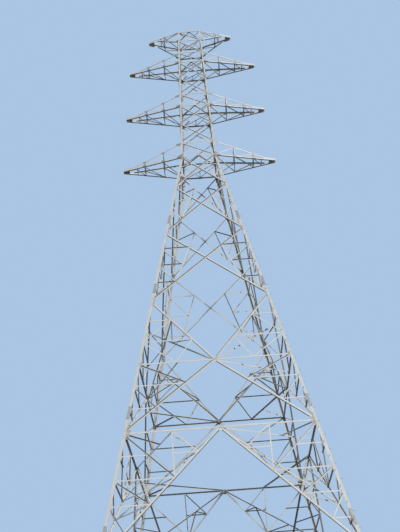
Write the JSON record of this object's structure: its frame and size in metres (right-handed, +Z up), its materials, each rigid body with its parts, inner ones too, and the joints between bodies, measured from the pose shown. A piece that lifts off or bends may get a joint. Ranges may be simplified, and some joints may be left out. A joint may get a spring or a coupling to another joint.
{
  "type": "lattice transmission pylon, 1:2 scale model",
  "caption": "Square tapered steel lattice tower with level crossarms in tiers on both sides, earth wire arms at its head and base plates under its legs",
  "frame": {"origin": "on the ground, in the middle of the base plates", "axes": "+Z up the tower's axis, +X along the crossarms to the right in the picture, +Y along the conductors, away from the picture's viewpoint"},
  "size_m": [7.73, 7.73, 27.285],
  "materials": {
    "legs": "weathered hot-dip galvanising",
    "bracing": "weathered hot-dip galvanising",
    "crossarms": "weathered hot-dip galvanising",
    "feet": "dull hot-dip galvanising",
    "fittings": "dull hot-dip galvanising"
  },
  "bodies": {
    "root": {"front_right_foot": "feet", "back_right_foot": "feet", "back_left_foot": "feet", "front_left_foot": "feet", "front_right_lower_leg": "legs", "back_right_lower_leg": "legs", "back_left_lower_leg": "legs", "front_left_lower_leg": "legs", "front_right_upper_leg": "legs", "back_right_upper_leg": "legs", "back_left_upper_leg": "legs", "front_left_upper_leg": "legs", "front_foot_bracing": "bracing", "right_foot_bracing": "bracing", "back_foot_bracing": "bracing", "left_foot_bracing": "bracing", "front_v_bracing": "bracing", "right_v_bracing": "bracing", "back_v_bracing": "bracing", "left_v_bracing": "bracing", "front_k_bracing": "bracing", "right_k_bracing": "bracing", "back_k_bracing": "bracing", "left_k_bracing": "bracing", "front_x_bracing": "bracing", "right_x_bracing": "bracing", "back_x_bracing": "bracing", "left_x_bracing": "bracing", "front_upper_bracing": "bracing", "right_upper_bracing": "bracing", "back_upper_bracing": "bracing", "left_upper_bracing": "bracing", "foot_level_bracing": "bracing", "main_level_bracing": "bracing", "middle_level_bracing": "bracing", "upper_level_bracing": "bracing", "right_lower_crossarm": "crossarms", "left_lower_crossarm": "crossarms", "right_middle_crossarm": "crossarms", "left_middle_crossarm": "crossarms", "right_upper_crossarm": "crossarms", "left_upper_crossarm": "crossarms", "right_earth_wire_arm": "crossarms", "left_earth_wire_arm": "crossarms", "attachment_plates": "fittings"}
  },
  "joints": []
}
